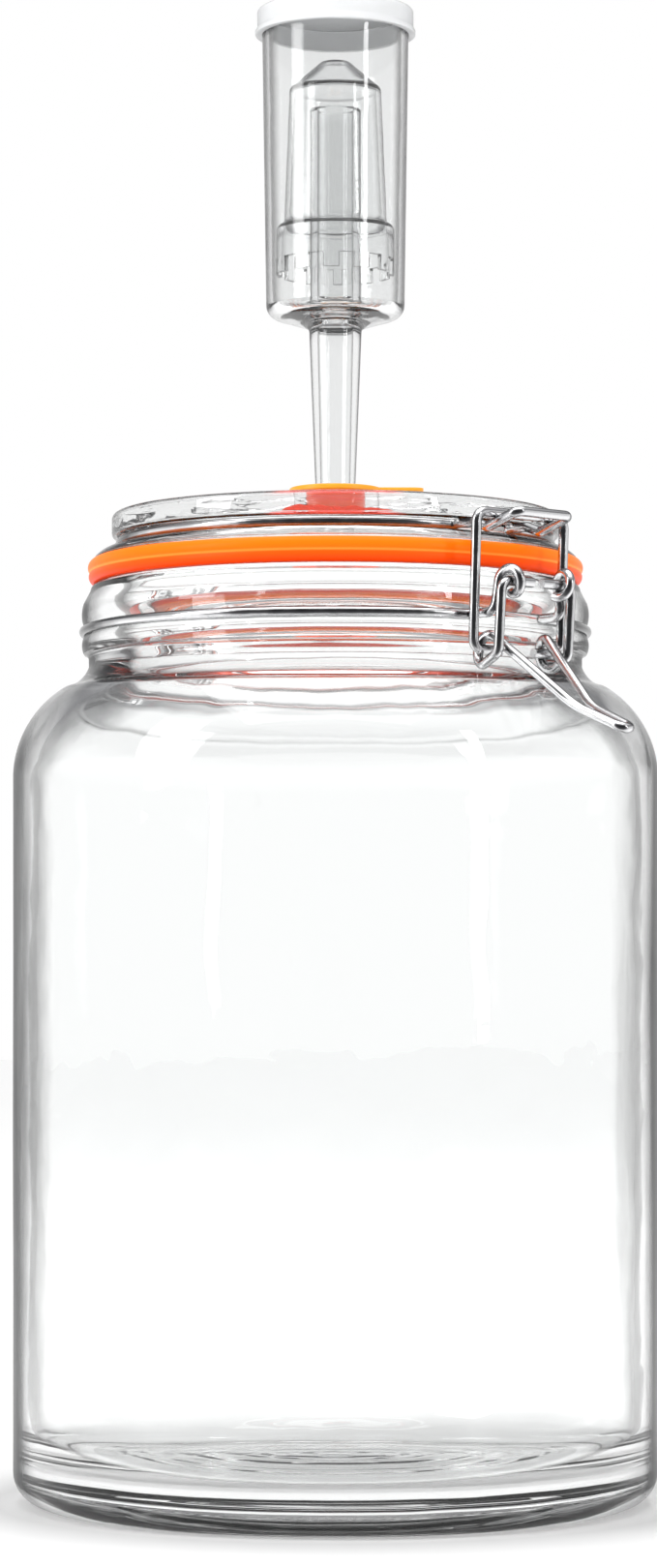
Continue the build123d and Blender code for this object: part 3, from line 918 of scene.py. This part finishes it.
# ---- airlock body ----
# One thin clear moulding: the tapered stem, a cup that widens upward, and the riser tube that
# carries the gas up inside it.
airlock_clear = clear_finish(
    "airlock_clear",
    tint=(0.9, 0.905, 0.905, 1),
    index=1.49,
    wave=70.0,
    wave_depth=0.00012,
    rim_painted_shade=(0.05, 0.05, 0.052, 1),
    rim_span=(0.45, 0.8),
    rim_most=0.8,
    edge_shade_jitter=0.2,
)
cone_start = 290.8
chamber_top = 368.4
riser_top = 345.0
body_line = [(3.4, 236.5), (4.6, 236.5), (5.0, 236.9)]
body_line += straight((5.0, 236.9), (5.0, 252.5), 6)
body_line += straight((5.0, 252.5), (6.5, cone_start - 0.8), 14)
body_line += arc((6.5, cone_start - 0.8), (6.85, cone_start), (7.6, cone_start + 0.35), 4)
body_line += straight((7.6, cone_start + 0.35), (14.2, cone_start + 2.4), 4)
body_line += arc((14.2, cone_start + 2.4), (16.4, cone_start + 3.6), (17.2, cone_start + 5.6), 8)
body_line += straight((17.2, cone_start + 5.6), (18.15, 362.1), 24)
body_line += [(18.15, chamber_top - 0.3), (17.9, chamber_top), (16.9, chamber_top)]
body_line += [(16.65, chamber_top - 0.3)]
body_line += straight((16.65, chamber_top - 0.3), (15.7, cone_start + 5.6), 24)
body_line += arc((15.7, cone_start + 5.6), (14.9, cone_start + 4.7), (12.7, cone_start + 3.9), 6)
body_line += straight((12.7, cone_start + 3.9), (7.3, cone_start + 2.6), 4)
body_line += arc((7.3, cone_start + 2.6), (6.6, cone_start + 2.8), (6.3, cone_start + 3.6), 4)
body_line += straight((6.3, cone_start + 3.6), (6.3, riser_top - 0.3), 18)
body_line += [(6.0, riser_top), (4.8, riser_top), (4.5, riser_top - 0.3)]
body_line += straight((4.5, riser_top - 0.3), (4.5, cone_start), 18)
body_line += straight((4.5, cone_start), (3.4, 236.5), 16)
airlock_body = turned("airlock_cup", body_line, airlock_clear, 128, 0.003, 60.0)
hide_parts("airlock_body")
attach(airlock_body, "airlock")


# ---- airlock bell ----
# The clear cup that floats upside down over the riser tube. Its crown has a small button,
# and its stepped skirt has square notches that let the gas out under the water.
bell_low = 304.0
bell_line = [(13.5, bell_low), (14.7, bell_low)]
bell_line += straight((14.7, bell_low), (14.7, bell_low + 11), 10)
bell_line += arc((14.7, bell_low + 11), (14.2, bell_low + 11.9), (13.0, bell_low + 12.6), 5)
bell_line += arc((13.0, bell_low + 12.6), (12.75, bell_low + 13.6), (12.7, bell_low + 15), 4)
bell_line += straight((12.7, bell_low + 15), (11.4, 349.4), 14)
bell_line += arc((11.4, 349.4), (11.25, 350.1), (10.7, 350.7), 5)
bell_line += straight((10.7, 350.7), (4.3, 356.2), 6)
bell_line += arc((4.3, 356.2), (3.5, 356.8), (2.6, 357.0), 4)
bell_line += [(1.4, 356.9), (0.0, 356.85), (0.0, 355.8), (2.8, 355.8)]
bell_line += straight((2.8, 355.8), (9.9, 349.6), 6)
bell_line += arc((9.9, 349.6), (10.15, 349.2), (10.2, 348.8), 4)
bell_line += straight((10.2, 348.8), (11.5, bell_low + 15), 14)
bell_line += arc((11.5, bell_low + 15), (11.8, bell_low + 12.4), (13.2, bell_low + 11), 6)
bell_line += straight((13.5, bell_low + 10.5), (13.5, bell_low), 8)


def notched_tree():
    """Cuts a ring of square notches up into the lower edge of the skirt."""
    build, given = tree_of(
        "notched_skirt",
        [
            ("Count", "NodeSocketInt", 12),
            ("Radius", "NodeSocketFloat", 0.014),
            ("Height", "NodeSocketFloat", 0.3),
            ("Notch", "NodeSocketVector", (0.004, 0.0037, 0.0072)),
            ("Material", "NodeSocketMaterial", None),
        ],
    )
    ring = build.node(
        "GeometryNodeMeshCircle",
        {"fill_type": "NONE"},
        {"Vertices": given.of("Count"), "Radius": given.of("Radius")},
    )
    here = build.node("ShaderNodeSeparateXYZ", {}, {0: build.node("GeometryNodeInputPosition")})
    angle = build.node("ShaderNodeMath", {"operation": "ARCTAN2"}, {0: here.of("Y"), 1: here})
    turn = build.node("ShaderNodeCombineXYZ", {}, {2: angle})
    cutter = build.node("GeometryNodeMeshCube", {}, {"Size": given.of("Notch")})
    cutters = build.node(
        "GeometryNodeInstanceOnPoints", {}, {"Points": ring, "Instance": cutter, "Rotation": turn}
    )
    lift = build.node("ShaderNodeCombineXYZ", {}, {2: given.of("Height")})
    raised = build.node(
        "GeometryNodeTranslateInstances",
        {},
        {"Instances": cutters, "Translation": lift, "Local Space": False},
    )
    real_cutters = build.node("GeometryNodeRealizeInstances", {}, {"Geometry": raised})
    cut = build.node(
        "GeometryNodeMeshBoolean",
        {"operation": "DIFFERENCE", "solver": "EXACT"},
        {"Mesh 1": given.of("Geometry"), "Mesh 2": real_cutters},
    )
    real = build.node("GeometryNodeRealizeInstances", {}, {"Geometry": cut})
    dressed = build.node(
        "GeometryNodeSetMaterial", {}, {"Geometry": real, "Material": given.of("Material")}
    )
    build.node("NodeGroupOutput", {}, {"Geometry": dressed})
    return build.tree


bell_clear = clear_finish(
    "bell_clear",
    tint=(0.965, 0.97, 0.97, 1),
    index=1.49,
    wave=80.0,
    wave_depth=0.0001,
    # Colour of the painted dark edge.
    rim_painted_shade=(0.1, 0.1, 0.102, 1),
    rim_span=(0.5, 0.9),
    rim_most=0.7,
    edge_shade_jitter=0.2,
)
plain_bell = turned("plain_bell", bell_line, bell_clear, 120, 0.003, 60.0)
bell_mesh = plain_bell.data
bpy.data.objects.remove(plain_bell)
airlock_bell = grown(
    "bell_cup",
    bell_mesh,
    notched_tree(),
    {"Count": 12, "Radius": 14.0 * MM, "Height": bell_low * MM, "Material": bell_clear},
)
smooth_outwards(airlock_bell, 40.0)
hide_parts("airlock_bell")
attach(airlock_bell, "bell")


# ---- airlock cap ----
# A frosted push-on cap with a flared lip. It keeps dust out and lets the gas leak past.
def cap_finish():
    finish = Finish("cap_frosted")
    place = finish.place()
    cloud = finish.noise(180.0, 4.0, 0.6, place)
    grain = finish.noise(2400.0, 2.0, 0.5, place)
    edge_on = finish.node("ShaderNodeLayerWeight", {}, {"Blend": 0.5}).of("Facing")
    # Painted edge shade: the frosted colour darkens to half where the cap is seen edge on.
    tint = finish.ramp(
        edge_on + (cloud - 0.5) * 0.25,
        (0.0, (0.9, 0.91, 0.92)),
        (0.5, (0.86, 0.87, 0.88)),
        (0.95, (0.5, 0.505, 0.51)),
    )
    frosted = finish.node(
        "ShaderNodeBsdfPrincipled",
        {},
        {
            "Base Color": tint,
            "Roughness": cloud * 0.1 + 0.35,
            "IOR": 1.45,
            "Transmission Weight": 0.4,
            "Specular IOR Level": 0.3,
            "Subsurface Weight": 0.3,
            "Subsurface Radius": (0.004, 0.004, 0.004),
            "Subsurface Scale": 1.0,
            "Normal": finish.bump(grain, 0.00003, 0.6),
        },
    )
    return finish.surface(frosted)


cap_low = 363.65
cap_under = 368.45
cap_top = 369.95
cap_line = [(0.0, cap_under), (9.0, cap_under), (18.2, cap_under), (18.2, cap_low)]
cap_line += [(19.7, cap_low)]
cap_line += arc((19.7, cap_low), (19.85, cap_low + 0.1), (19.9, cap_low + 0.35), 4)
cap_line += [(19.9, cap_low + 0.9)]
cap_line += arc((19.9, cap_low + 0.9), (19.62, cap_low + 1.45), (19.4, cap_low + 1.9), 4)
cap_line += [(19.4, cap_top - 0.9)]
cap_line += arc((19.4, cap_top - 0.9), (19.15, cap_top - 0.3), (18.5, cap_top), 6)
cap_line += [(17.6, cap_top), (17.3, cap_top - 0.25), (9.0, cap_top - 0.25), (0.0, cap_top - 0.25)]
airlock_cap = turned("cap_shell", cap_line, cap_finish(), 128)
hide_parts("airlock_cap")
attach(airlock_cap, "cap")


# ---- floor, light and camera ----
# A pale floor that runs off into a white surround, with a painted shadow ring round the jar's foot
# and painted light under the glass; two tall soft lamps and one above.
def pale_floor():
    work = bmesh.new()
    bmesh.ops.create_grid(work, x_segments=1, y_segments=1, size=6.0)
    mesh = bpy.data.meshes.new("floor")
    work.to_mesh(mesh)
    work.free()
    floor = bpy.data.objects.new("floor", mesh)
    bpy.context.scene.collection.objects.link(floor)
    finish = Finish("floor_white")
    place = finish.place()
    far = finish.node("ShaderNodeVectorMath", {"operation": "LENGTH"}, {0: place}).of("Value")
    cloud = finish.noise(3.0, 2.0, 0.5, place)
    # Painted shadow: the floor is darkened in a ring round the jar's foot, most at 85 mm from the
    # axis.
    shade = finish.ramp(
        far * 4 + (cloud - 0.5) * 0.04,
        (0.0, (0.9, 0.9, 0.9)),
        (0.28, (0.85, 0.85, 0.85)),
        (0.34, (0.6, 0.6, 0.6)),
        (0.42, (0.74, 0.74, 0.74)),
        (0.8, (0.95, 0.95, 0.95)),
    )
    # Painted light: the floor glows under the jar, where light would come through the glass, and
    # faintly further out.
    glow = finish.ramp(
        far * 4,
        (0.0, (1.0, 1.0, 1.0)),
        (0.27, (1.0, 1.0, 1.0)),
        (0.32, (0.1, 0.1, 0.1)),
        (0.42, (0.12, 0.12, 0.12)),
        (0.8, (0.17, 0.17, 0.17)),
    )
    white = finish.node(
        "ShaderNodeBsdfPrincipled",
        {},
        {
            "Base Color": shade,
            "Roughness": cloud * 0.1 + 0.5,
            "Specular IOR Level": 0.2,
            "Emission Color": glow,
            "Emission Strength": 0.35,
        },
    )
    mesh.materials.append(finish.surface(white))


def surround():
    """White all round for the eye and for the floor; what glass and steel mirror darkens upward."""
    world = bpy.data.worlds.new("surround")
    bpy.context.scene.world = world
    world.use_nodes = True
    world.node_tree.nodes.clear()
    build = Finish("surround", world.node_tree)
    way = build.node("ShaderNodeTexCoord").of("Generated")
    up = build.upward(way)
    sky = build.ramp(
        up,
        (0.0, (1.0, 1.0, 1.0)),
        (0.26, (1.0, 1.0, 1.0)),
        (0.42, (0.25, 0.25, 0.26)),
        (0.6, (0.3, 0.3, 0.31)),
        (0.85, (1.0, 1.0, 1.0)),
    )
    path = build.node("ShaderNodeLightPath")
    direct = build.node(
        "ShaderNodeMath",
        {"operation": "MAXIMUM"},
        {0: path.of("Is Camera Ray"), 1: path.of("Is Diffuse Ray")},
    )
    mirrored = build.node("ShaderNodeBackground", {}, {"Color": sky, "Strength": 1.0})
    plain = build.node("ShaderNodeBackground", {}, {"Color": (1, 1, 1, 1), "Strength": 1.0})
    mixed = build.node("ShaderNodeMixShader", {}, {0: direct, 1: mirrored, 2: plain})
    build.node("ShaderNodeOutputWorld", {}, {"Surface": mixed})


def soft_lamp(name, place, target, width, tall, power):
    lamp = bpy.data.lights.new(name, "AREA")
    lamp.shape = "RECTANGLE"
    lamp.size = width
    lamp.size_y = tall
    lamp.energy = power
    holder = bpy.data.objects.new(name, lamp)
    bpy.context.scene.collection.objects.link(holder)
    holder.location = place
    holder.rotation_euler = (Vector(target) - Vector(place)).to_track_quat("-Z", "Y").to_euler()


pale_floor()
surround()
soft_lamp("lamp_left", (-0.35, -1.35, 0.75), (0, 0, 0.15), 0.5, 1.1, 10)
soft_lamp("lamp_right", (1.5, 0.25, 0.6), (0, 0, 0.15), 0.12, 1.0, 5)
soft_lamp("lamp_top", (0.1, -0.1, 1.6), (0, 0, 0), 1.4, 1.4, 14)

bpy.context.scene.view_settings.view_transform = "Standard"
camera = bpy.data.cameras.new("camera")
camera.sensor_fit = "VERTICAL"
camera.sensor_height = 36.0
camera.lens = 97.1
camera.shift_x = -0.0044
camera.shift_y = 0.1358
eye = bpy.data.objects.new("camera", camera)
bpy.context.scene.collection.objects.link(eye)
swing = radians(49)
distance = 1.05
eye.location = (distance * sin(swing), -distance * cos(swing), 0.125)
eye.rotation_euler = (radians(90), 0, swing)
bpy.context.scene.camera = eye

bpy.context.view_layer.update()
